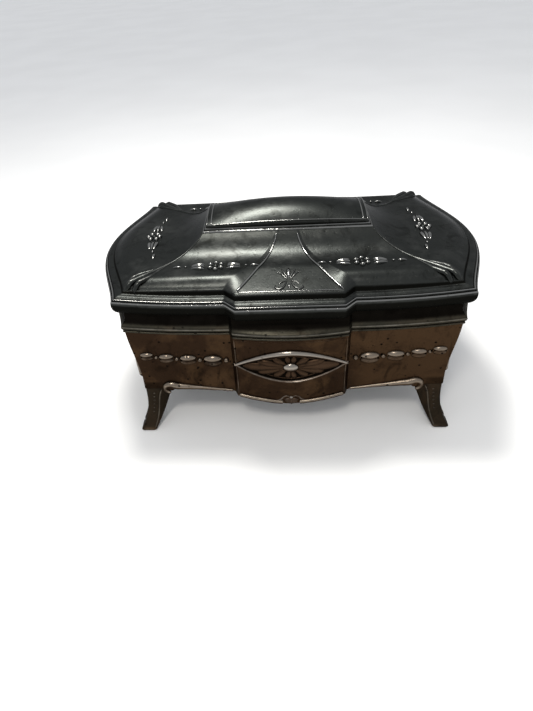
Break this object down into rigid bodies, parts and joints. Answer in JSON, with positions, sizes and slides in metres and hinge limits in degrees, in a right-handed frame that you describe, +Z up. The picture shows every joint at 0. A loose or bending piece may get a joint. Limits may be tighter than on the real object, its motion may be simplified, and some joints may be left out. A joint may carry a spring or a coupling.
{
  "type": "footed trinket box",
  "caption": "Oblong footed jewel casket in dark cast metal with bowed ends, flared cabriole feet, a hipped hinged lid with a raised plaque, and satin linings.",
  "frame": {"origin": "centre of the rectangle that the four feet stand on, on the table plane", "axes": "+X along the length to the right as seen from the front, -Y towards the front with the oval ornament, +Z up"},
  "size_m": [0.2152, 0.131, 0.121],
  "materials": {
    "body_casting": "cast, worn plate over dark copper brown",
    "neck_casting": "cast, blackened silver plate worn on the beads",
    "leg_casting": "cast, blackened",
    "ornament": "cast relief, silvery on the high spots",
    "lid_casting": "blackened silver plate, satin",
    "floor_sheet": "dull sheet",
    "hinge_metal": "dull",
    "hinge_pins": "plain",
    "satin_lining": "satin",
    "satin_cushion": "satin, padded",
    "lining_card": "plain"
  },
  "bodies": {
    "base": {"front_wall": "body_casting", "back_wall": "body_casting", "left_end_wall": "body_casting", "right_end_wall": "body_casting", "neck_frame": "neck_casting", "front_left_leg": "leg_casting", "front_right_leg": "leg_casting", "back_left_leg": "leg_casting", "back_right_leg": "leg_casting", "front_cartouche": "ornament", "back_cartouche": "ornament", "front_apron_shell": "ornament", "back_apron_shell": "ornament", "bottom_plate": "floor_sheet", "left_hinge_base_leaf": "hinge_metal", "right_hinge_base_leaf": "hinge_metal", "left_hinge_pin": "hinge_pins", "right_hinge_pin": "hinge_pins", "lining_front": "satin_lining", "lining_back": "satin_lining", "lining_left": "satin_lining", "lining_right": "satin_lining", "floor_cushion": "satin_cushion"},
    "lid": {"lid_shell": "lid_casting", "left_hinge_lid_leaf": "hinge_metal", "right_hinge_lid_leaf": "hinge_metal", "lid_lining_board": "lining_card", "lid_cushion": "satin_cushion"}
  },
  "joints": [
    {"name": "lid_hinge", "type": "hinge", "parent": "base", "child": "lid", "pos_m": [0, 0.062, 0.08005], "axis": [-1, 0, 0], "range_deg": [0, 100]}
  ]
}
